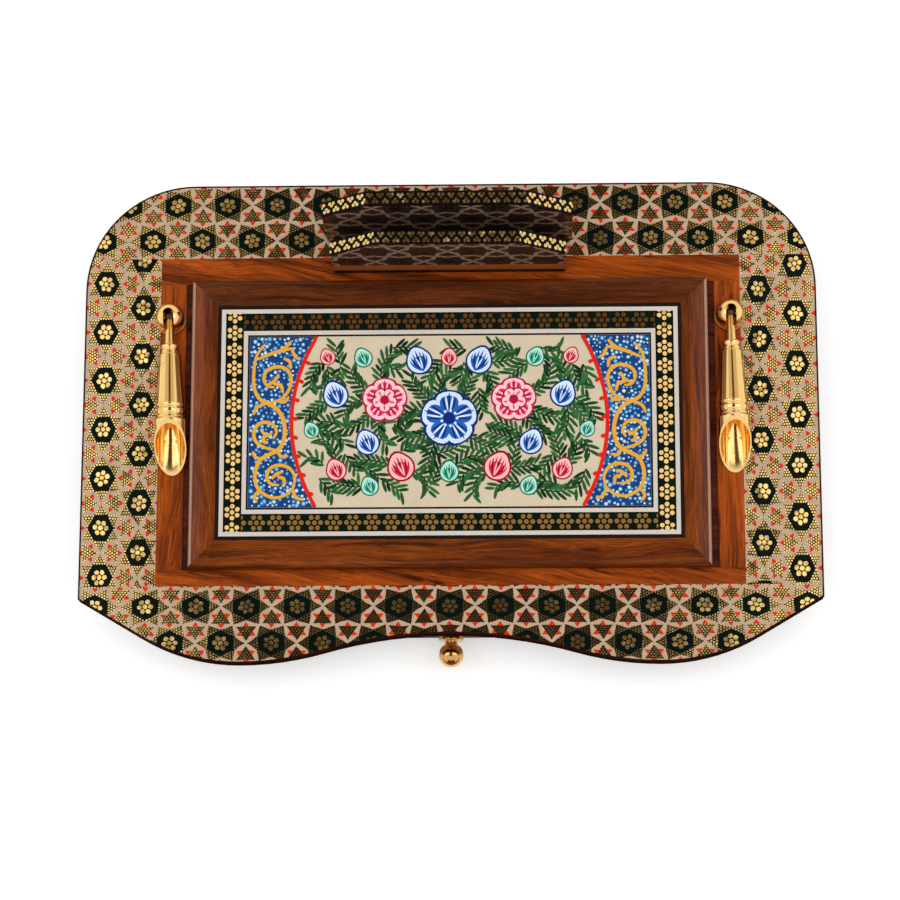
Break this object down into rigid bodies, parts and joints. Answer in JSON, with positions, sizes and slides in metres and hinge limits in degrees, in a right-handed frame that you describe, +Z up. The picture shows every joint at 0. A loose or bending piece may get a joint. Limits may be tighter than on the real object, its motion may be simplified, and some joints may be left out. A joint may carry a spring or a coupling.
{
  "type": "inlaid wooden desk box",
  "caption": "Low inlaid wooden desk box with a shaped overhanging top, a front drawer with a brass knob, swivelling pen funnels, a card holder and a framed painted panel.",
  "frame": {"origin": "middle of the underside, at the centre of the top board's outline", "axes": "+X to the right, +Y to the back with the card holder, +Z up; the drawer opens to -Y"},
  "size_m": [0.3096, 0.2056, 0.095],
  "materials": {
    "dark_wood": "lacquered",
    "khatam": "glossy lacquer over micro-mosaic of wood, bone and brass",
    "strip_khatam": "glossy lacquer over brass flowers on dark wood",
    "band_wood": "glossy lacquer",
    "frame_wood": "glossy lacquer",
    "black_line": "glossy lacquer",
    "bone": "polished bone, lacquered",
    "painted": "painted and lacquered",
    "plain_wood": "oiled",
    "lining": "short velvet pile",
    "brass": "polished",
    "knob_brass": "polished, slightly darkened",
    "steel": "bright"
  },
  "bodies": {
    "case": {"top_board": "dark_wood", "top_edge_band": "dark_wood", "base_board": "dark_wood", "left_wall": "dark_wood", "right_wall": "dark_wood", "back_wall": "dark_wood", "khatam_front": "khatam", "khatam_rear": "khatam", "khatam_left": "khatam", "khatam_right": "khatam", "left_wall_khatam": "khatam", "right_wall_khatam": "khatam", "back_wall_khatam": "khatam", "card_front_plate": "khatam", "card_rear_plate": "khatam", "strip_left": "strip_khatam", "strip_right": "strip_khatam", "strip_front": "strip_khatam", "strip_rear": "strip_khatam", "card_front_edging": "strip_khatam", "card_rear_edging": "strip_khatam", "band_front": "band_wood", "band_rear": "band_wood", "band_left": "band_wood", "band_right": "band_wood", "frame_front": "frame_wood", "frame_rear": "frame_wood", "frame_left": "frame_wood", "frame_right": "frame_wood", "card_base": "frame_wood", "outer_black_line": "black_line", "inner_black_line": "black_line", "outer_bone_line": "bone", "inner_bone_line": "bone", "painted_panel": "painted", "panel_core": "plain_wood", "left_pen_base": "brass", "right_pen_base": "brass", "left_pivot_screw": "steel", "right_pivot_screw": "steel"},
    "drawer": {"drawer_front": "plain_wood", "drawer_front_khatam": "khatam", "drawer_left_side": "plain_wood", "drawer_right_side": "plain_wood", "drawer_back": "plain_wood", "drawer_bottom": "plain_wood", "drawer_lining": "lining", "drawer_knob": "knob_brass", "knob_screw": "steel"},
    "left_head": {"left_swivel_head": "brass", "left_tilt_pin": "steel"},
    "right_head": {"right_swivel_head": "brass", "right_tilt_pin": "steel"},
    "left_funnel": {"left_pen_funnel": "brass"},
    "right_funnel": {"right_pen_funnel": "brass"}
  },
  "joints": [
    {"name": "drawer_slide", "type": "slide", "parent": "case", "child": "drawer", "axis": [0, -1, 0], "range_m": [0, 0.11]},
    {"name": "left_head_swivel", "type": "hinge", "parent": "case", "child": "left_head", "pos_m": [-0.118, 0.0433, 0.05], "axis": [0, 0, -1], "range_deg": [-0.4, 180]},
    {"name": "left_funnel_tilt", "type": "hinge", "parent": "left_head", "child": "left_funnel", "pos_m": [-0.118, 0.0433, 0.05], "axis": [-0.9997, -0.0244, 0], "range_deg": [0, 85]},
    {"name": "right_head_swivel", "type": "hinge", "parent": "case", "child": "right_head", "pos_m": [0.118, 0.0433, 0.05], "axis": [0, 0, 1], "range_deg": [-2.5, 180]},
    {"name": "right_funnel_tilt", "type": "hinge", "parent": "right_head", "child": "right_funnel", "pos_m": [0.118, 0.0433, 0.05], "axis": [-0.9998, -0.0175, 0], "range_deg": [0, 85]}
  ]
}
